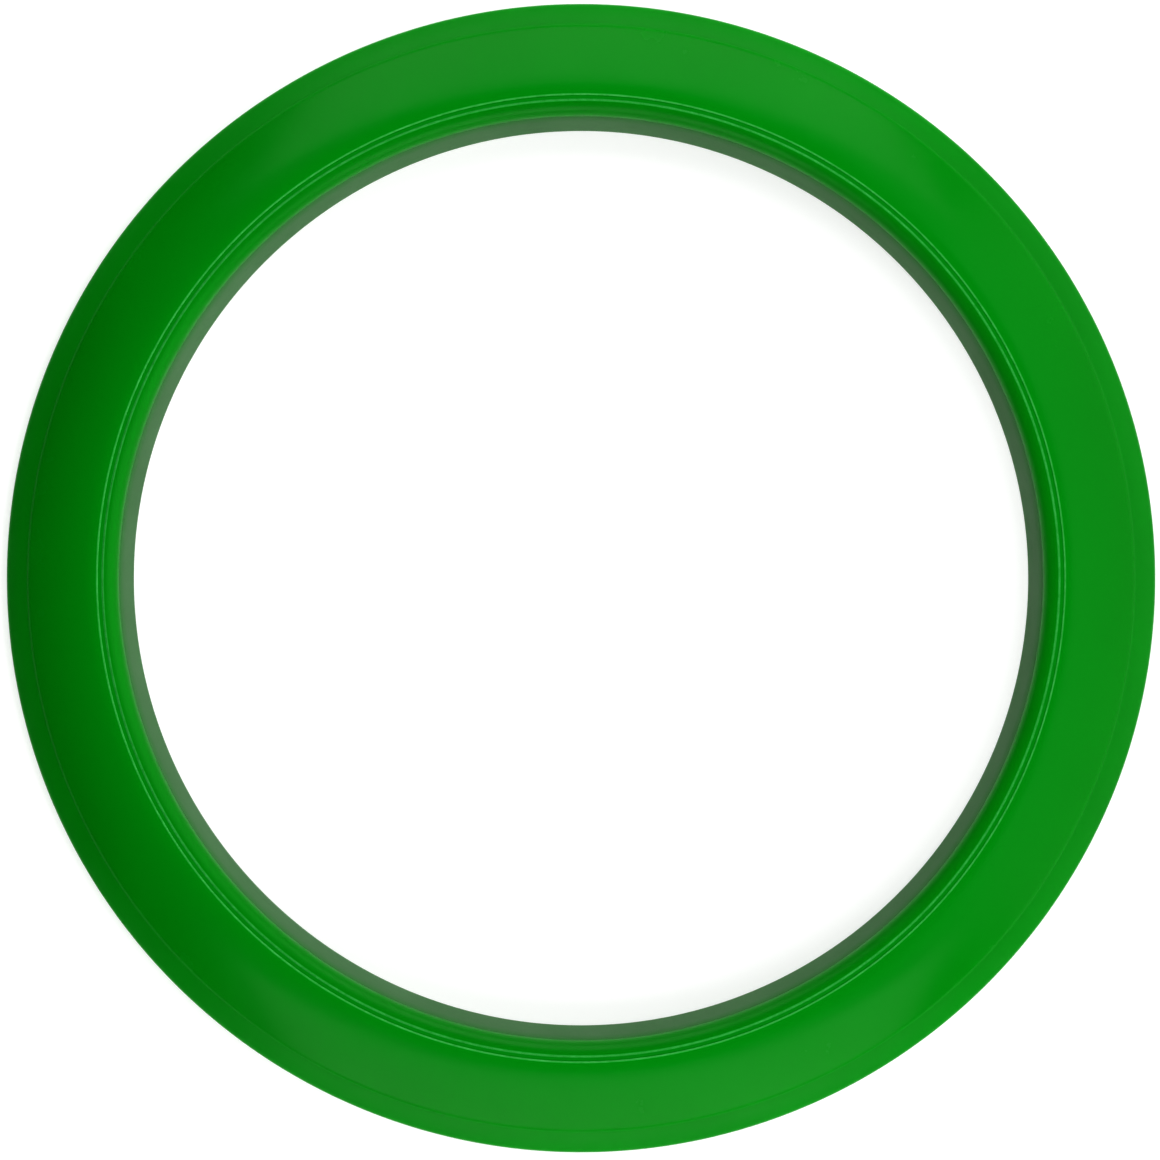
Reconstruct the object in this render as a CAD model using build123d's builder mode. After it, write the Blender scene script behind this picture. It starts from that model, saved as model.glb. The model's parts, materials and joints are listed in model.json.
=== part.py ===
from build123d import *
from math import asin, cos, degrees, radians, sin
import os

# Flying ring: two rigid shells closed round an air space, with a soft bumper outside and a soft lip inside.
# Millimetres. Z is the ring's axis, and Z = 0 is the plane that the ring lies on.
# Every section is drawn as (radius, height) on the XZ plane and turned about Z.

# Overall sizes
outer_radius = 127.0  # the bumper's widest reach
band_width = 28.0  # from the hole to the widest reach
height = 12.0  # from the rest plane to the top of the crown
wall = 1.6  # rigid shells

# Wall of the hole
land_height = 2.2  # straight cylinder at the foot of the wall
wall_lean = 2.6  # how far the wall leans out above the land
base_fillet = 0.5

# Soft lip round the hole
lip_radius = 3.3
lip_overrun = 0.1  # the lip's arc runs past its top by this much
lip_depth = 4.0  # from the top of the lip down to its seat
lip_skin = 1.0  # soft cover over the tongue

# Reveal between the lip and the crown
reveal_width = 0.95
reveal_depth = 0.12
reveal_fillet = 0.1

# Tongue that carries the lip
tongue = 1.4
tongue_bead_radius = 0.45

# Crown, as downward tilts from level
crown_start_tilt = 2.0
shoulder_tilt = 13.5
shoulder_radius = 14.0

# Crease between the crown and the bumper
crease_height = 5.8
roll_width = 0.64
roll_drop = 0.54

# Soft bumper
bumper_width = 5.0  # from the crease to the widest reach
crease_tilt = 46.0
bumper_tilt = 28.0
hollow_radius = 2.2
bead_radius = 24.0
edge_reach = 0.62  # the bumper's edge turns down over this last stretch

# Outer seam between the two shells, and the flange that the bumper grips
skirt_drop = 2.4  # from the crease down to the seam
lap = 0.8
flange_drop = 1.0  # from the seam down to the flange's middle
flange_reach = 2.2
flange_root = 0.9
flange_bulb_radius = 0.75

# Ribs inside the base
rib_count = 16
rib_thickness = 1.2
rib_clearance = 0.25

# Recess in the underside, so that the ring rests on two bands
recess_depth = 0.5
rest_width = 5.0  # each rest band, measured on the base
recess_fillet = 0.4

# Places worked out from the sizes above
bore_radius = outer_radius - band_width
lip_inner_radius = bore_radius + wall_lean
lip_centre_radius = lip_inner_radius + lip_radius
parting_radius = lip_centre_radius + lip_overrun + reveal_width
tongue_radius = parting_radius - tongue
crease_radius = outer_radius - bumper_width
seat_height = height - lip_depth
tongue_height = height - reveal_depth - lip_skin
seam_height = crease_height - skirt_drop
flange_height = seam_height - flange_drop
skirt_radius = crease_radius - wall
recess_inner = bore_radius + rest_width
recess_outer = crease_radius - rest_width
tiny = 0.001


def downhill(tilt):
    """Direction that runs outwards and down at a tilt from level."""
    return Vector(cos(radians(tilt)), -sin(radians(tilt)))


def under(direction):
    """The direction square to an outward run, pointing into the ring."""
    return Vector(direction.Y, -direction.X)


def crown_region(inset, inner, outer, bottom):
    """Section below the crown's surface moved in by inset, between two radii and above a height."""
    with BuildSketch() as region:
        with BuildLine():
            begin = Vector(parting_radius, height) + under(downhill(crown_start_tilt)) * inset
            shoulder = JernArc(
                begin,
                downhill(crown_start_tilt),
                shoulder_radius - inset,
                crown_start_tilt - shoulder_tilt,
            )
            # The flank is found at the surface first, so that every inset of it is concentric.
            surface_start = shoulder @ 1 - under(shoulder % 1) * inset
            surface_end = Vector(crease_radius - roll_width, crease_height + roll_drop)
            surface = TangentArc(surface_start, surface_end, tangent=shoulder % 1, mode=Mode.PRIVATE)
            flank_end = surface @ 1 + under(surface % 1) * inset
            flank = TangentArc(shoulder @ 1, flank_end, tangent=shoulder % 1)
            if inset > 0:
                tail = Line(flank @ 1, (flank_end.X, bottom))
            else:
                roll = TangentArc(flank @ 1, (crease_radius, crease_height), tangent=flank % 1)
                tail = Line(roll @ 1, (crease_radius, bottom))
            Polyline(tail @ 1, (begin.X, bottom), begin)
        make_face()
        with Locations(((inner + outer) / 2, (bottom + height) / 2)):
            Rectangle(outer - inner, height - bottom, mode=Mode.INTERSECT)
    return region.sketch


def band(inner, outer, low, high, mode=Mode.ADD):
    """Rectangle of a section, between two radii and two heights."""
    with Locations(((inner + outer) / 2, (low + high) / 2)):
        Rectangle(outer - inner, high - low, mode=mode)


def flange_section(mode):
    """Section of the flange, with a bulb at its end that the soft bumper can't pull off."""
    bulb_radius = crease_radius + flange_reach
    band(skirt_radius, bulb_radius, flange_height - flange_root / 2, flange_height + flange_root / 2, mode)
    with Locations((bulb_radius, flange_height)):
        Circle(flange_bulb_radius, mode=mode)


def tongue_section(mode):
    """Section of the tongue, with a bead on its inner side that holds the soft lip down."""
    band(tongue_radius, parting_radius, seat_height, tongue_height, mode)
    with Locations((tongue_radius, (seat_height + tongue_height) / 2)):
        Circle(tongue_bead_radius, mode=mode)


# Top shell: the crown, with a skirt at each side
crown_outside = crown_region(0, parting_radius, crease_radius, seam_height)
crown_inside = crown_region(wall, parting_radius + wall, skirt_radius, seam_height)
ledge_underside = seat_height - wall

with BuildPart() as top_shell:
    with BuildSketch(Plane.XZ) as top_section:
        add(crown_outside)
        add(crown_inside, mode=Mode.SUBTRACT)
        # The inner skirt stops level with the base's ledge, and the outer one is lapped.
        band(parting_radius - tiny, parting_radius + wall, seam_height, ledge_underside, Mode.SUBTRACT)
        band(crease_radius - wall / 2, crease_radius + tiny, seam_height, seam_height + lap, Mode.SUBTRACT)
        fillet(top_section.vertices().sort_by(Axis.Y)[-1], radius=reveal_fillet)
    revolve()

# Bottom shell: underside, both walls, ledge, tongue, flange and ribs
rib_inner = parting_radius + wall + rib_clearance
rib_outside = crown_region(wall + rib_clearance, rib_inner, skirt_radius - rib_clearance, wall / 2)

with BuildPart() as bottom_shell:
    with BuildSketch(Plane.XZ) as bottom_section:
        with BuildLine():
            Polyline(
                (bore_radius, 0),
                (bore_radius, land_height),
                (lip_inner_radius, seat_height),
                (parting_radius, seat_height),
                (parting_radius, ledge_underside),
                (lip_inner_radius + wall, ledge_underside),
                (bore_radius + wall, land_height),
                (bore_radius + wall, wall),
                (skirt_radius, wall),
                (skirt_radius, seam_height),
                (crease_radius - wall / 2, seam_height),
                (crease_radius - wall / 2, seam_height + lap),
                (crease_radius, seam_height + lap),
                (crease_radius, 0),
                close=True,
            )
        make_face()
        tongue_section(Mode.ADD)
        flange_section(Mode.ADD)
        fillet(bottom_section.vertices().sort_by(SortBy.DISTANCE)[0], radius=base_fillet)
        band(recess_inner, recess_outer, 0, recess_depth, Mode.SUBTRACT)
        recess_corners = bottom_section.vertices().filter_by_position(Axis.Y, recess_depth, recess_depth)
        fillet(recess_corners, radius=recess_fillet)
    revolve()
    with BuildSketch(Plane.XZ) as rib_section:
        add(rib_outside)
        band(bore_radius + wall / 2, rib_inner, wall / 2, ledge_underside - rib_clearance)
    with PolarLocations(0, rib_count):
        extrude(rib_section.sketch, amount=rib_thickness / 2, both=True)

# Outer bumper: soft edge moulded over the flange
bead_end_radius = outer_radius - edge_reach

with BuildPart() as outer_bumper:
    with BuildSketch(Plane.XZ) as bumper_section:
        with BuildLine():
            hollow = JernArc(
                (crease_radius, crease_height),
                downhill(crease_tilt),
                hollow_radius,
                crease_tilt - bumper_tilt,
            )
            bead_rise = (bead_end_radius - (hollow @ 1).X) / bead_radius
            bead_tilt = degrees(asin(sin(radians(bumper_tilt)) + bead_rise))
            bead = JernArc(hollow @ 1, hollow % 1, bead_radius, bumper_tilt - bead_tilt)
            edge_radius = edge_reach / (1 - sin(radians(bead_tilt)))
            edge = JernArc(bead @ 1, bead % 1, edge_radius, bead_tilt - 90)
            foot = JernArc(edge @ 1, edge % 1, (edge @ 1).Y, -90)
            Polyline(foot @ 1, (crease_radius, 0), (crease_radius, crease_height))
        make_face()
        flange_section(Mode.SUBTRACT)
    revolve()

# Inner lip: soft round lip of the hole, moulded over the tongue
lip_end_radius = parting_radius - reveal_width
overrun_angle = degrees(asin(lip_overrun / lip_radius))
reveal_height = height - reveal_depth

with BuildPart() as inner_lip:
    with BuildSketch(Plane.XZ) as lip_section:
        with BuildLine():
            lip_centre = (lip_centre_radius, height - lip_radius)
            roll_over = CenterArc(lip_centre, lip_radius, 180, -90 - overrun_angle)
            Polyline(
                roll_over @ 1,
                (lip_end_radius, reveal_height),
                (parting_radius, reveal_height),
                (parting_radius, seat_height),
                (lip_inner_radius, seat_height),
                roll_over @ 0,
            )
        make_face()
        tongue_section(Mode.SUBTRACT)
        fillet(lip_section.vertices().sort_by(Axis.Y)[-1], radius=reveal_fillet)
    revolve()

# Each piece is its own solid in its own file
os.makedirs("parts", exist_ok=True)
pieces = {
    "top_shell": top_shell,
    "bottom_shell": bottom_shell,
    "outer_bumper": outer_bumper,
    "inner_lip": inner_lip,
}
for name, piece in pieces.items():
    piece.part.label = name
    export_step(piece.part, f"parts/{name}.step")
    print(name, round(piece.part.volume), piece.part.bounding_box().size)
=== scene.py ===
import json
import math
import bmesh
import bpy
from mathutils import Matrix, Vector


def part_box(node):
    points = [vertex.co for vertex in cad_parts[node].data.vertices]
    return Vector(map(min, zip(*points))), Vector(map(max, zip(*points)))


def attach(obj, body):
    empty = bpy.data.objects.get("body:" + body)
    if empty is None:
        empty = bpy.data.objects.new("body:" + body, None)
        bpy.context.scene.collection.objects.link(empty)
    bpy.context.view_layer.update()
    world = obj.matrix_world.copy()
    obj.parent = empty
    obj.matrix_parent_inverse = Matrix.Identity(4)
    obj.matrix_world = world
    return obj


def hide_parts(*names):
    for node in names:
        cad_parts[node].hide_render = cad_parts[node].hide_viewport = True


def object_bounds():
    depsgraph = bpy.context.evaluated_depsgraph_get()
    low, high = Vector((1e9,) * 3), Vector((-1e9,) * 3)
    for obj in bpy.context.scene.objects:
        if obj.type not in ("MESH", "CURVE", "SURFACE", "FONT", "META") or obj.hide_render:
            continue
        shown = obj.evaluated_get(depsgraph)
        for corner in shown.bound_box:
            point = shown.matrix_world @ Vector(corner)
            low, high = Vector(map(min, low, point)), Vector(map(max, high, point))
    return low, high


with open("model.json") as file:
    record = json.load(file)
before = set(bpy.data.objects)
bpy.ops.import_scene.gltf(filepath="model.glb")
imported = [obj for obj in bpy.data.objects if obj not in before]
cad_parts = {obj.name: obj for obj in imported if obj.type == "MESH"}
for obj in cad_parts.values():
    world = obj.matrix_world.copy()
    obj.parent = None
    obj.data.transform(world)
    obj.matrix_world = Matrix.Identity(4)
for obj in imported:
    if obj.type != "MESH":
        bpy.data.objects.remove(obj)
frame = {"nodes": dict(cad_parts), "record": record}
cadLow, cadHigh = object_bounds()
print("frame loaded,", len(frame["nodes"]), "nodes")

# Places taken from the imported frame, in millimetres. A node reaches as far out as its box does.
mm = 0.001
places = 2


def cornerOf(node, corner, axis):
    # corner is 0 for the lowest or 1 for the highest; axis is 0 for x or 2 for z
    return round(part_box(node)[corner][axis] / mm, places)


ringTop = round(cadHigh.z / mm, places)
outerRadius = round(cadHigh.x / mm, places)
partingRadius = cornerOf("inner_lip", 1, 0)
seatHeight = cornerOf("inner_lip", 0, 2)
creaseRadius = cornerOf("top_shell", 1, 0)
seamHeight = cornerOf("top_shell", 0, 2)
tongueHeight = cornerOf("bottom_shell", 1, 2)
boreRadius = next(m for m in frame["record"]["mounts"] if m["kind"] == "bore")["dims"]["r_mm"]


# Sections: drawn in millimetres on the XZ plane with a pen, then spun round the ring's axis

spinLook = {"segments": 420, "sharpAngle": 35, "mergeWithin": 0.002}


class SectionPen:
    # heading is the way the pen travels, in degrees: 0 is outwards and 90 is up
    def __init__(self, radius, height, heading):
        self.bm = bmesh.new()
        self.first = self.bm.verts.new((radius, 0, height))
        self.tip = self.first
        self.heading = heading

    def line(self, radius, height):
        vert = self.bm.verts.new((radius, 0, height))
        self.bm.edges.new((self.tip, vert))
        self.heading = math.degrees(math.atan2(height - self.tip.co.z, radius - self.tip.co.x))
        self.tip = vert

    def bend(self, radius, turn, steps):
        # an arc that leaves along the heading; a positive turn is to the left
        side = math.radians(self.heading + math.copysign(90, turn))
        centre = self.tip.co + Vector((math.cos(side), 0, math.sin(side))) * radius
        made = bmesh.ops.spin(self.bm, geom=[self.tip], cent=centre, axis=(0, -1, 0),
                              angle=math.radians(turn), steps=steps)
        self.tip = next(g for g in made["geom_last"] if isinstance(g, bmesh.types.BMVert))
        self.heading += turn

    def curve(self, radius, height, steps):
        # the one arc that leaves along the heading and ends at this point
        chord = Vector((radius, 0, height)) - self.tip.co
        half = math.degrees(math.atan2(chord.z, chord.x)) - self.heading
        self.bend(chord.length / 2 / abs(math.sin(math.radians(half))), 2 * half, steps)

    def close(self):
        self.bm.edges.new((self.tip, self.first))


def spinRing(name, pen, material, node, inside=None):
    bm = pen.bm
    bmesh.ops.spin(bm, geom=bm.verts[:] + bm.edges[:], cent=(0, 0, 0), axis=(0, 0, 1),
                   angle=math.tau, steps=spinLook["segments"], use_merge=True)
    bmesh.ops.remove_doubles(bm, verts=bm.verts, dist=spinLook["mergeWithin"])
    if inside:
        inside(bm)
    bmesh.ops.recalc_face_normals(bm, faces=bm.faces)
    bmesh.ops.scale(bm, vec=(mm, mm, mm), verts=bm.verts)
    mesh = bpy.data.meshes.new(name)
    bm.to_mesh(mesh)
    bm.free()
    mesh.shade_smooth()
    mesh.set_sharp_from_angle(angle=math.radians(spinLook["sharpAngle"]))
    mesh.materials.append(material)
    piece = bpy.data.objects.new(name, mesh)
    bpy.context.scene.collection.objects.link(piece)
    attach(piece, "root")
    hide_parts(node)
    print(name, "spun,", len(mesh.polygons), "faces")


# Materials: small helpers for nodes, then one recipe that all four pieces share

def newMaterial(name):
    material = bpy.data.materials.new(name)
    material.use_nodes = True
    tree = material.node_tree
    return material, tree, tree.nodes["Principled BSDF"]


def addNode(tree, kind, **values):
    node = tree.nodes.new(kind)
    for key, value in values.items():
        setattr(node, key, value)
    return node


def noise(tree, coords, scale, detail, roughness):
    node = addNode(tree, "ShaderNodeTexNoise")
    node.inputs["Scale"].default_value = scale
    node.inputs["Detail"].default_value = detail
    node.inputs["Roughness"].default_value = roughness
    tree.links.new(coords, node.inputs["Vector"])
    return node.outputs["Fac"]


def remap(tree, source, low, high, toLow, toHigh):
    node = addNode(tree, "ShaderNodeMapRange")
    for key, value in (("From Min", low), ("From Max", high), ("To Min", toLow), ("To Max", toHigh)):
        node.inputs[key].default_value = value
    tree.links.new(source, node.inputs["Value"])
    return node.outputs["Result"]


def calc(tree, operation, *values):
    # each value is a number or another node's output
    node = addNode(tree, "ShaderNodeMath", operation=operation)
    for socket, value in zip(node.inputs, values):
        if isinstance(value, (int, float)):
            socket.default_value = value
        else:
            tree.links.new(value, socket)
    return node.outputs["Value"]


def blendColours(tree, factor, first, second):
    # each colour is a tuple or another node's output
    node = addNode(tree, "ShaderNodeMix", data_type="RGBA")
    tree.links.new(factor, node.inputs["Factor"])
    for name, value in (("A", first), ("B", second)):
        socket = next(s for s in node.inputs if s.name == name and s.type == "RGBA")
        if isinstance(value, tuple):
            socket.default_value = (*value, 1)
        else:
            tree.links.new(value, socket)
    return next(s for s in node.outputs if s.type == "RGBA")


def ringCoords(tree):
    # object coordinates, and the distance from the ring's axis
    coords = addNode(tree, "ShaderNodeTexCoord").outputs["Object"]
    apart = addNode(tree, "ShaderNodeSeparateXYZ")
    tree.links.new(coords, apart.inputs["Vector"])
    x = apart.outputs["X"]
    y = apart.outputs["Y"]
    squares = calc(tree, "ADD", calc(tree, "MULTIPLY", x, x), calc(tree, "MULTIPLY", y, y))
    return coords, calc(tree, "SQRT", squares)


def awayFrom(tree, radius, place):
    return calc(tree, "ABSOLUTE", calc(tree, "SUBTRACT", radius, place))


# the stretch of each noise that shows, and how much of a line or groove is at full strength
skinLook = {
    "cloudFrom": 0.3, "cloudTo": 0.7, "speckSoftness": 0.08, "wearFrom": 0.48, "wearTo": 0.66,
    "glossFrom": 0.3, "glossTo": 0.7, "brokenFrom": 0.35, "brokenTo": 0.65,
    "grooveCore": 0.7, "edgeCore": 0.35, "refraction": 1.5,
}


def mouldedSkin(name, look):
    # cloudy colour, specks, rubbed places, painted light and shade, patchy gloss and a fine skin
    material, tree, shader = newMaterial(name)
    coords, radius = ringCoords(tree)
    cloud = noise(tree, coords, look["cloudScale"], detail=3.0, roughness=0.55)
    cloudMask = remap(tree, cloud, skinLook["cloudFrom"], skinLook["cloudTo"], 0, 1)
    colour = blendColours(tree, cloudMask, look["dark"], look["light"])
    speck = noise(tree, coords, look["speckScale"], detail=1.0, roughness=0.5)
    speckFull = look["speckFrom"] + skinLook["speckSoftness"]
    speckMask = remap(tree, speck, look["speckFrom"], speckFull, 0, look["speckAmount"])
    colour = blendColours(tree, speckMask, colour, look["speckColour"])
    # wear: paler and rougher where the piece is rubbed
    rub = noise(tree, coords, look["rubScale"], detail=5.0, roughness=0.6)
    rubMask = remap(tree, rub, skinLook["wearFrom"], skinLook["wearTo"], 0, 1)
    nearEdge = remap(tree, radius, look["rubFrom"], look["rubTo"], 0, 1)
    wear = calc(tree, "MULTIPLY", rubMask, nearEdge)
    colour = blendColours(tree, calc(tree, "MULTIPLY", wear, look["rubAmount"]), colour, look["rubColour"])
    # a slow change of tone across the piece; on the crown it is a painted highlight, paler towards the
    # lip, and on the lip it is painted shade, greyer towards the base
    if "toneRampColour" in look:
        toneRamp = remap(tree, radius, look["toneRampFrom"], look["toneRampTo"], 0, look["toneRampAmount"])
        colour = blendColours(tree, toneRamp, colour, look["toneRampColour"])
    # painted light: a paler floor in the reveal, lifting the shade that falls in it
    if "grooveAt" in look:
        away = awayFrom(tree, radius, look["grooveAt"])
        core = look["grooveWidth"] * skinLook["grooveCore"]
        grooveLightMask = remap(tree, away, core, look["grooveWidth"], 1, 0)
        colour = blendColours(tree, grooveLightMask, colour, look["grooveLightColour"])
    # a fine paler line along a moulded edge: a painted highlight where the edge catches the light, and
    # worn in places, so uneven
    if "edgeAt" in look:
        away = awayFrom(tree, radius, look["edgeAt"])
        core = look["edgeWidth"] * skinLook["edgeCore"]
        line = remap(tree, away, core, look["edgeWidth"], 1, 0)
        patches = noise(tree, coords, look["edgeScale"], detail=4.0, roughness=0.65)
        broken = remap(tree, patches, skinLook["brokenFrom"], skinLook["brokenTo"],
                       look["edgeFaint"], look["edgeStrong"])
        colour = blendColours(tree, calc(tree, "MULTIPLY", line, broken), colour, look["edgeGlintAndWearColour"])
    tree.links.new(colour, shader.inputs["Base Color"])
    smear = noise(tree, coords, look["glossScale"], detail=3.0, roughness=0.6)
    gloss = remap(tree, smear, skinLook["glossFrom"], skinLook["glossTo"],
                  look["roughness"] - look["glossSpread"], look["roughness"] + look["glossSpread"])
    gloss = calc(tree, "ADD", gloss, calc(tree, "MULTIPLY", wear, look["rubRoughness"]))
    tree.links.new(gloss, shader.inputs["Roughness"])
    grain = noise(tree, coords, look["grainScale"], detail=2.0, roughness=0.6)
    peel = noise(tree, coords, look["peelScale"], detail=1.0, roughness=0.5)
    skin = calc(tree, "ADD", calc(tree, "MULTIPLY", grain, look["grainHeight"]),
                calc(tree, "MULTIPLY", peel, look["peelHeight"]))
    bump = addNode(tree, "ShaderNodeBump")
    bump.inputs["Strength"].default_value = 1
    bump.inputs["Distance"].default_value = mm
    tree.links.new(skin, bump.inputs["Height"])
    tree.links.new(bump.outputs["Normal"], shader.inputs["Normal"])
    shader.inputs["Specular IOR Level"].default_value = look["specular"]
    shader.inputs["IOR"].default_value = skinLook["refraction"]
    return material


# In these four, a place or a width is in metres, a skin's height is in millimetres, and a larger scale
# is a finer pattern. Rub and the tone ramp grow from the first radius to the second.
crownLook = {
    "dark": (0.0, 0.248, 0.007), "light": (0.0, 0.270, 0.008), "cloudScale": 22,
    "speckScale": 1500, "speckFrom": 0.66, "speckAmount": 0.10, "speckColour": (0.0, 0.20, 0.005),
    "rubScale": 90, "rubFrom": 0.110, "rubTo": 0.122,
    "rubAmount": 0.03, "rubColour": (0.01, 0.33, 0.02), "rubRoughness": 0.06,
    "roughness": 0.22, "glossSpread": 0.04, "glossScale": 60, "specular": 0.115,
    "grainScale": 2200, "grainHeight": 0.0015, "peelScale": 260, "peelHeight": 0.004,
    # painted highlight along the crown's edge at the parting, with uneven wear
    "edgeAt": (partingRadius + 0.12) * mm, "edgeWidth": 0.36 * mm, "edgeScale": 420,
    "edgeFaint": 0.6, "edgeStrong": 1.0, "edgeGlintAndWearColour": (0.085, 0.50, 0.12),
    # painted light: the crown turns paler green towards the lip, where its top catches the most light
    "toneRampFrom": 0.121, "toneRampTo": 0.1065, "toneRampAmount": 0.85, "toneRampColour": (0.0, 0.298, 0.012),
}
bumperLook = {
    "dark": (0.0, 0.248, 0.008), "light": (0.0, 0.272, 0.009), "cloudScale": 26,
    "speckScale": 1800, "speckFrom": 0.64, "speckAmount": 0.10, "speckColour": (0.0, 0.19, 0.005),
    "rubScale": 220, "rubFrom": 0.1235, "rubTo": 0.127,
    "rubAmount": 0.12, "rubColour": (0.03, 0.33, 0.04), "rubRoughness": 0.12,
    "roughness": 0.38, "glossSpread": 0.05, "glossScale": 80, "specular": 0.13,
    "grainScale": 3200, "grainHeight": 0.006, "peelScale": 400, "peelHeight": 0.004,
}
lipLook = {
    "dark": (0.0, 0.257, 0.008), "light": (0.0, 0.278, 0.0085), "cloudScale": 30,
    "speckScale": 1600, "speckFrom": 0.66, "speckAmount": 0.08, "speckColour": (0.0, 0.19, 0.005),
    "rubScale": 200, "rubFrom": 0.1045, "rubTo": 0.1030,
    "rubAmount": 0.05, "rubColour": (0.01, 0.30, 0.02), "rubRoughness": 0.10,
    "roughness": 0.32, "glossSpread": 0.04, "glossScale": 90, "specular": 0.13,
    "grainScale": 2600, "grainHeight": 0.002, "peelScale": 300, "peelHeight": 0.003,
    # painted highlight along the lip's edge at the reveal, with uneven wear
    "edgeAt": (partingRadius - 1.05) * mm, "edgeWidth": 0.36 * mm, "edgeScale": 420,
    "edgeFaint": 0.55, "edgeStrong": 1.0, "edgeGlintAndWearColour": (0.065, 0.45, 0.10),
    # painted light: a paler floor in the reveal, against the shade that falls in it
    "grooveAt": (partingRadius - 0.45) * mm, "grooveWidth": 0.62 * mm,
    "grooveLightColour": (0.0, 0.285, 0.012),
    # painted shade: the lip turns a darker, greyer green down its roll towards the base
    "toneRampFrom": 0.1030, "toneRampTo": 0.1016, "toneRampAmount": 0.6, "toneRampColour": (0.004, 0.195, 0.008),
}
baseLook = {
    "dark": (0.056, 0.158, 0.057), "light": (0.067, 0.176, 0.068), "cloudScale": 30,
    "speckScale": 1400, "speckFrom": 0.62, "speckAmount": 0.15, "speckColour": (0.03, 0.12, 0.03),
    "rubScale": 180, "rubFrom": 0.1006, "rubTo": 0.099,
    "rubAmount": 0.2, "rubColour": (0.10, 0.24, 0.10), "rubRoughness": 0.10,
    "roughness": 0.42, "glossSpread": 0.05, "glossScale": 70, "specular": 0.15,
    "grainScale": 1800, "grainHeight": 0.004, "peelScale": 350, "peelHeight": 0.003,
    # the base turns greener towards the lip
    "toneRampFrom": 0.1007, "toneRampTo": 0.1016, "toneRampAmount": 0.7, "toneRampColour": (0.018, 0.17, 0.022),
}

crownPlastic = mouldedSkin("crownPlastic", crownLook)
bumperRubber = mouldedSkin("bumperRubber", bumperLook)
lipRubber = mouldedSkin("lipRubber", lipLook)
basePlastic = mouldedSkin("basePlastic", baseLook)
print("materials made")


# Pieces. These sizes are shared by pieces that meet.

jointShape = {
    "wall": 1.6, "lap": 0.8, "wallLean": 2.6, "creaseHeight": 5.8,
    "tongue": 1.4, "beadRadius": 0.45, "beadSteps": 10,
    "flangeHeight": 2.4, "flangeRoot": 0.9, "flangeReach": 2.2, "bulbRadius": 0.75, "bulbSteps": 16,
}
wall = jointShape["wall"]
skirtRadius = creaseRadius - wall
lapHeight = seamHeight + jointShape["lap"]
ledgeHeight = seatHeight - wall
holeRadius = boreRadius + jointShape["wallLean"]  # the hole at the lip
tongueRadius = partingRadius - jointShape["tongue"]
beadHeight = (seatHeight + tongueHeight) / 2

# the flange runs from the outer wall into a round bulb, which it meets at the neck
flangeTop = jointShape["flangeHeight"] + jointShape["flangeRoot"] / 2
flangeFoot = jointShape["flangeHeight"] - jointShape["flangeRoot"] / 2
neckAngle = math.degrees(math.asin(jointShape["flangeRoot"] / 2 / jointShape["bulbRadius"]))
neckInset = jointShape["bulbRadius"] * math.cos(math.radians(neckAngle))
neckRadius = creaseRadius + jointShape["flangeReach"] - neckInset


crownShape = {
    "edgeStart": 0.104, "edgeRound": 0.1, "edgeSteps": 6,
    "startTilt": 2.0, "shoulderTilt": 13.5, "shoulderRadius": 14.0, "shoulderSteps": 10,
    "flankSteps": 26, "rollWidth": 0.64, "rollDrop": 0.54, "rollSteps": 6,
    # the inside, which follows the crown a wall's thickness below it
    "insideDrop": 1.29, "insideTilt": 31.6, "insideSteps": 12,
    "brimWidth": 0.8, "brimDrop": 1.93, "brimEndDrop": 1.77,
}


def drawCrown(shape):
    rollHeight = jointShape["creaseHeight"] + shape["rollDrop"]
    pen = SectionPen(partingRadius, ledgeHeight, 90)
    pen.line(partingRadius, ringTop - shape["edgeStart"])
    pen.bend(shape["edgeRound"], -90 - shape["startTilt"], shape["edgeSteps"])
    pen.bend(shape["shoulderRadius"], shape["startTilt"] - shape["shoulderTilt"], shape["shoulderSteps"])
    pen.curve(creaseRadius - shape["rollWidth"], rollHeight, shape["flankSteps"])
    pen.curve(creaseRadius, jointShape["creaseHeight"], shape["rollSteps"])
    pen.line(creaseRadius, lapHeight)
    pen.line(creaseRadius - wall / 2, lapHeight)
    pen.line(creaseRadius - wall / 2, seamHeight)
    pen.line(skirtRadius, seamHeight)
    # inside of the shell, back towards the hole
    pen.line(skirtRadius, rollHeight - shape["insideDrop"])
    pen.heading = 180 - shape["insideTilt"]
    pen.curve(partingRadius + wall + shape["brimWidth"], ringTop - shape["brimDrop"], shape["insideSteps"])
    pen.line(partingRadius + wall, ringTop - shape["brimEndDrop"])
    pen.line(partingRadius + wall, ledgeHeight)
    pen.close()
    return pen


bumperShape = {
    "creaseTilt": 46.0, "tilt": 28.0, "hollowRadius": 2.2, "hollowSteps": 6,
    "beadRadius": 24.0, "beadSteps": 8, "edgeReach": 0.62, "edgeSteps": 8, "footSteps": 8,
    # the mould's witness line, a fine ridge with a flat top round the widest reach
    "witnessRise": 0.05, "witnessWidth": 0.3, "witnessFlat": 0.06,
}


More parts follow.
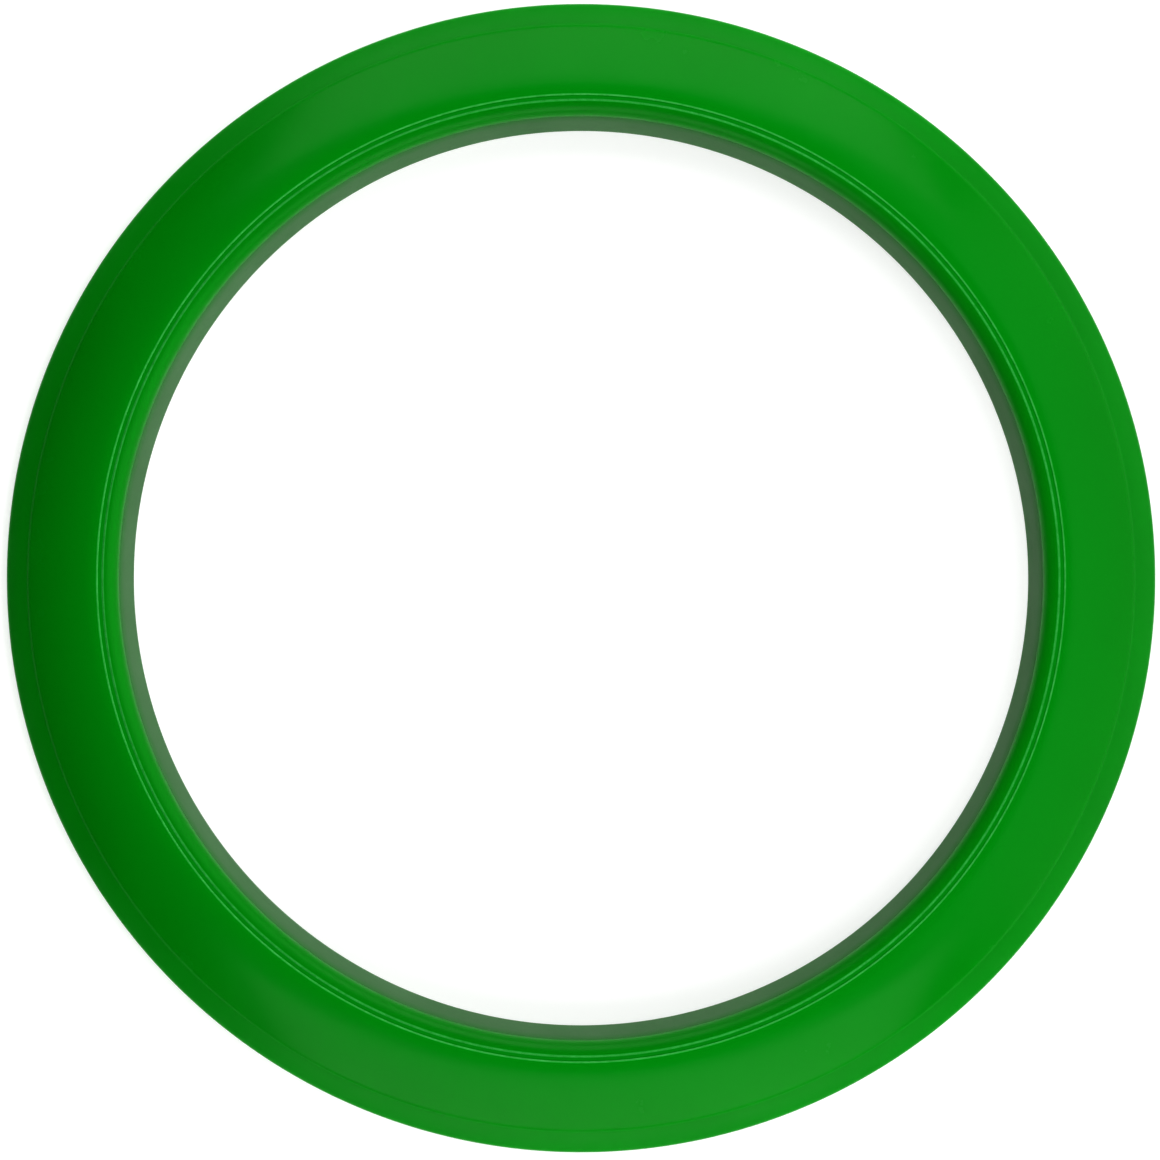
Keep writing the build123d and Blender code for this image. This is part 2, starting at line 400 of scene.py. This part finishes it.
def drawBumper(shape):
    pen = SectionPen(creaseRadius, jointShape["creaseHeight"], -shape["creaseTilt"])
    pen.bend(shape["hollowRadius"], shape["creaseTilt"] - shape["tilt"], shape["hollowSteps"])
    # the bead's arc ends where its edge begins to turn down
    beadEnd = outerRadius - shape["edgeReach"]
    rise = math.sin(math.radians(shape["tilt"])) + (beadEnd - pen.tip.co.x) / shape["beadRadius"]
    pen.bend(shape["beadRadius"], shape["tilt"] - math.degrees(math.asin(rise)), shape["beadSteps"])
    edgeRadius = shape["edgeReach"] / (1 + math.sin(math.radians(pen.heading)))
    pen.bend(edgeRadius, -90 - pen.heading, shape["edgeSteps"])
    # witness line
    edgeHeight = pen.tip.co.z
    ridgeRadius = outerRadius + shape["witnessRise"]
    pen.line(ridgeRadius, edgeHeight - (shape["witnessWidth"] - shape["witnessFlat"]) / 2)
    pen.line(ridgeRadius, edgeHeight - (shape["witnessWidth"] + shape["witnessFlat"]) / 2)
    pen.line(outerRadius, edgeHeight - shape["witnessWidth"])
    # foot
    pen.heading = -90
    pen.bend(edgeHeight - shape["witnessWidth"], -90, shape["footSteps"])
    pen.line(creaseRadius, 0)
    # the slot over the base's flange, with a round end for its bulb
    pen.line(creaseRadius, flangeFoot)
    pen.line(neckRadius, flangeFoot)
    pen.heading = neckAngle - 90
    pen.bend(jointShape["bulbRadius"], 360 - 2 * neckAngle, jointShape["bulbSteps"])
    pen.line(creaseRadius, flangeTop)
    pen.close()
    return pen


lipShape = {
    "radius": 3.3, "rollSteps": 24, "edgeRound": 0.1, "edgeSteps": 6,
    "revealWidth": 0.95, "revealDepth": 0.12,
}


def drawLip(shape):
    lipEnd = partingRadius - shape["revealWidth"]
    revealHeight = ringTop - shape["revealDepth"]
    pen = SectionPen(holeRadius, seatHeight, 90)
    pen.line(holeRadius, ringTop - shape["radius"])
    pen.curve(lipEnd - shape["edgeRound"], ringTop, shape["rollSteps"])
    pen.bend(shape["edgeRound"], -90 - pen.heading, shape["edgeSteps"])
    # floor of the reveal, then down the parting and round the tongue
    pen.line(lipEnd, revealHeight)
    pen.line(partingRadius, revealHeight)
    pen.line(partingRadius, tongueHeight)
    pen.line(tongueRadius, tongueHeight)
    pen.line(tongueRadius, beadHeight + jointShape["beadRadius"])
    pen.heading = 180
    pen.bend(jointShape["beadRadius"], 180, jointShape["beadSteps"])
    pen.line(tongueRadius, seatHeight)
    pen.close()
    return pen


baseShape = {
    "landHeight": 2.2, "footRound": 0.5, "footSteps": 6,
    "recessDepth": 0.5, "restWidth": 5.0, "recessRound": 0.4, "recessSteps": 5,
}


def drawBase(shape):
    # up the wall of the hole and round the tongue
    pen = SectionPen(boreRadius + shape["footRound"], 0, 180)
    pen.bend(shape["footRound"], -90, shape["footSteps"])
    pen.line(boreRadius, shape["landHeight"])
    pen.line(holeRadius, seatHeight)
    pen.line(tongueRadius, seatHeight)
    pen.line(tongueRadius, beadHeight - jointShape["beadRadius"])
    pen.heading = 180
    pen.bend(jointShape["beadRadius"], -180, jointShape["beadSteps"])
    pen.line(tongueRadius, tongueHeight)
    pen.line(partingRadius, tongueHeight)
    # down inside, across the floor and up the outer wall
    pen.line(partingRadius, ledgeHeight)
    pen.line(holeRadius + wall, ledgeHeight)
    pen.line(boreRadius + wall, shape["landHeight"])
    pen.line(boreRadius + wall, wall)
    pen.line(skirtRadius, wall)
    pen.line(skirtRadius, seamHeight)
    pen.line(creaseRadius - wall / 2, seamHeight)
    pen.line(creaseRadius - wall / 2, lapHeight)
    pen.line(creaseRadius, lapHeight)
    # the flange, with a bulb that holds the bumper
    pen.line(creaseRadius, flangeTop)
    pen.line(neckRadius, flangeTop)
    pen.heading = 90 - neckAngle
    pen.bend(jointShape["bulbRadius"], 2 * neckAngle - 360, jointShape["bulbSteps"])
    pen.line(creaseRadius, flangeFoot)
    pen.line(creaseRadius, 0)
    # the underside, with its recess
    recessOuter = creaseRadius - shape["restWidth"]
    recessInner = boreRadius + shape["restWidth"]
    pen.line(recessOuter, 0)
    pen.line(recessOuter, shape["recessDepth"] - shape["recessRound"])
    pen.bend(shape["recessRound"], 90, shape["recessSteps"])
    pen.line(recessInner + shape["recessRound"], shape["recessDepth"])
    pen.bend(shape["recessRound"], 90, shape["recessSteps"])
    pen.line(recessInner, 0)
    pen.close()
    return pen


# ribs stand inside the base, each a thin plate turned round the axis
ribShape = {
    "count": 16, "thickness": 1.2,
    "sink": 0.8,  # how far a rib runs into the base's walls
    "clear": 0.25,  # the gap between a rib and the ledge above it
    "ledgeStart": 2.8,  # how far out from the hole the ledge begins over it
    # the top edge under the crown: how far in from the crease, and how high
    "topEdge": [(1.85, 4.9), (5.0, 6.65), (9.0, 8.35), (12.0, 9.35), (14.2, 9.9)],
}


def addRibs(bm):
    sink = ribShape["sink"]
    underLedge = ledgeHeight - ribShape["clear"]
    top = [(creaseRadius - inwards, height) for inwards, height in ribShape["topEdge"]]
    outline = [(boreRadius + sink, sink), (top[0][0], sink), *top, (top[-1][0], underLedge),
               (boreRadius + ribShape["ledgeStart"], underLedge),
               (boreRadius + sink, baseShape["landHeight"])]
    side = -ribShape["thickness"] / 2
    plate = bm.faces.new([bm.verts.new((radius, side, height)) for radius, height in outline])
    made = bmesh.ops.extrude_face_region(bm, geom=[plate], use_keep_orig=True)
    raised = [g for g in made["geom"] if isinstance(g, bmesh.types.BMVert)]
    bmesh.ops.translate(bm, verts=raised, vec=(0, ribShape["thickness"], 0))
    # the whole rib, each part once
    ribVerts = [*plate.verts, *raised]
    ribEdges = list(dict.fromkeys(e for v in ribVerts for e in v.link_edges))
    ribFaces = list(dict.fromkeys(f for v in ribVerts for f in v.link_faces))
    bmesh.ops.spin(bm, geom=ribVerts + ribEdges + ribFaces, cent=(0, 0, 0), axis=(0, 0, 1),
                   angle=math.tau * (1 - 1 / ribShape["count"]), steps=ribShape["count"] - 1,
                   use_duplicate=True)


spinRing("crown", drawCrown(crownShape), crownPlastic, "top_shell")
spinRing("bumper", drawBumper(bumperShape), bumperRubber, "outer_bumper")
spinRing("lip", drawLip(lipShape), lipRubber, "inner_lip")
spinRing("base", drawBase(baseShape), basePlastic, "bottom_shell", addRibs)


# Floor, which glows a little more further out, with a pale backdrop standing round it

floorLook = {"radius": 6.0, "drop": 0.2 * mm, "segments": 96,
             "colour": (0.62, 0.62, 0.617), "roughness": 0.7, "specular": 0.2,
             "lift": 0.42, "farLift": 0.8, "glowFrom": 0.3, "glowTo": 0.9}
backdropLook = {"height": 4.0, "colour": (0.75, 0.75, 0.745)}


def stageMesh(name, bm, material):
    mesh = bpy.data.meshes.new(name)
    bm.to_mesh(mesh)
    bm.free()
    mesh.materials.append(material)
    piece = bpy.data.objects.new(name, mesh)
    bpy.context.scene.collection.objects.link(piece)
    return piece


floorMaterial, floorTree, floorShader = newMaterial("floorPaper")
floorShader.inputs["Base Color"].default_value = (*floorLook["colour"], 1)
floorShader.inputs["Roughness"].default_value = floorLook["roughness"]
floorShader.inputs["Specular IOR Level"].default_value = floorLook["specular"]
floorShader.inputs["Emission Color"].default_value = (1, 1, 1, 1)
floorRadius = ringCoords(floorTree)[1]
floorGlow = remap(floorTree, floorRadius, floorLook["glowFrom"], floorLook["glowTo"],
                  floorLook["lift"], floorLook["farLift"])
floorTree.links.new(floorGlow, floorShader.inputs["Emission Strength"])
floorMesh = bmesh.new()
bmesh.ops.create_circle(floorMesh, cap_ends=True, segments=floorLook["segments"],
                        radius=floorLook["radius"])
bmesh.ops.translate(floorMesh, verts=floorMesh.verts, vec=(0, 0, -floorLook["drop"]))
stageMesh("floor", floorMesh, floorMaterial)

backdropMaterial, _, backdropShader = newMaterial("backdropPaper")
backdropShader.inputs["Base Color"].default_value = (0, 0, 0, 1)
backdropShader.inputs["Emission Color"].default_value = (*backdropLook["colour"], 1)
backdropShader.inputs["Emission Strength"].default_value = 1
backdropMesh = bmesh.new()
bmesh.ops.create_cone(backdropMesh, cap_ends=False, segments=floorLook["segments"],
                      radius1=floorLook["radius"], radius2=floorLook["radius"],
                      depth=backdropLook["height"])
bmesh.ops.translate(backdropMesh, verts=backdropMesh.verts,
                    vec=(0, 0, backdropLook["height"] / 2 - floorLook["drop"]))
backdrop = stageMesh("backdrop", backdropMesh, backdropMaterial)
# the backdrop is seen by the camera and nothing else
for ray in ("visible_diffuse", "visible_glossy", "visible_shadow", "visible_transmission"):
    setattr(backdrop, ray, False)
print("floor and backdrop set")


# Studio light: soft walls of light on three sides with the fourth left dark, and two near softboxes.
# power is in watts; turn is in degrees.

lightLook = {
    "wallNorth": {"place": (0.07, 1.5, 1.71), "turn": (-90, 0, 0), "size": (2.66, 3.38), "power": 3.2},
    "wallSouth": {"place": (0.06, -1.305, 1.71), "turn": (90, 0, 0), "size": (2.31, 3.38), "power": 2.8},
    "wallEast": {"place": (1.45, 0.09, 1.71), "turn": (0, 90, 0), "size": (3.38, 2.62), "power": 29},
    "boxNorth": {"place": (0.04, 0.6, 0.35), "turn": (-60, 0, 0), "size": (0.85, 0.5), "power": 3.0},
    "boxSouth": {"place": (0.03, -0.6, 0.35), "turn": (60, 0, 0), "size": (0.9, 0.5), "power": 3.1},
}
airLook = {"colour": (1, 1, 1), "strength": 0.01}

for lightName, look in lightLook.items():
    data = bpy.data.lights.new(lightName, "AREA")
    data.shape = "RECTANGLE"
    data.size, data.size_y = look["size"]
    data.energy = look["power"]
    lamp = bpy.data.objects.new(lightName, data)
    lamp.location = look["place"]
    lamp.rotation_euler = [math.radians(a) for a in look["turn"]]
    lamp.visible_camera = False
    bpy.context.scene.collection.objects.link(lamp)

world = bpy.data.worlds.new("studioAir")
bpy.context.scene.world = world
world.use_nodes = True
air = world.node_tree.nodes["Background"]
air.inputs["Color"].default_value = (*airLook["colour"], 1)
air.inputs["Strength"].default_value = airLook["strength"]
print("light set")


# Camera: straight above the ring

cameraLook = {"height": 1.15, "lens": 161.1, "sensor": 36, "shift": (-0.0009, -0.0016), "farthest": 50}

cameraData = bpy.data.cameras.new("camera")
cameraData.sensor_width = cameraLook["sensor"]
cameraData.lens = cameraLook["lens"]
cameraData.shift_x, cameraData.shift_y = cameraLook["shift"]
cameraData.clip_end = cameraLook["farthest"]
camera = bpy.data.objects.new("camera", cameraData)
camera.location = (0, 0, cameraLook["height"])
bpy.context.scene.collection.objects.link(camera)
bpy.context.scene.camera = camera
bpy.context.scene.view_settings.view_transform = "Standard"
bpy.context.scene.view_settings.look = "High Contrast"
print("camera set")

bpy.context.view_layer.update()
